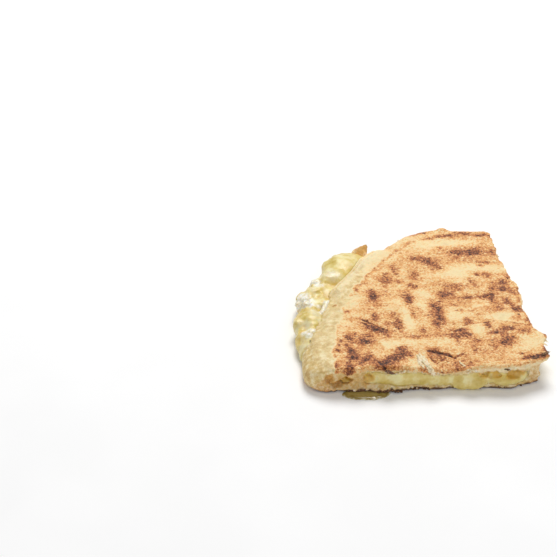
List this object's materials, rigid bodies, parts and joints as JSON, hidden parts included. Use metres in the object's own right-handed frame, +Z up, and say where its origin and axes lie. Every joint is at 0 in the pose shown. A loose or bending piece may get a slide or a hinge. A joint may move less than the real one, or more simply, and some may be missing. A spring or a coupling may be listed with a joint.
{
  "type": "grilled cheese flatbread sandwich wedge",
  "caption": "Quarter of a round pan-grilled flatbread filled with melted cheese, cut with a knife, with cheese bursting out of the torn rim and a little run out under the front cut.",
  "frame": {"origin": "middle of the footprint of the wedge's bounding box, on the surface that it rests on", "axes": "+X along the front cut from the rim to the tip, +Y away from the front cut towards the back of the rim, +Z up"},
  "size_m": [0.1041, 0.1195, 0.0124],
  "materials": {
    "toasted_bread": "dry pan-toasted dough, browned and charred in spots, pale and crumbly where cut or torn",
    "melted_cheese": "soft melted cheese, slightly glossy and translucent, pale yellow with white curds"
  },
  "bodies": {
    "root": {"flatbread": "toasted_bread", "cheese_filling": "melted_cheese", "cheese_drip": "melted_cheese"}
  },
  "joints": []
}
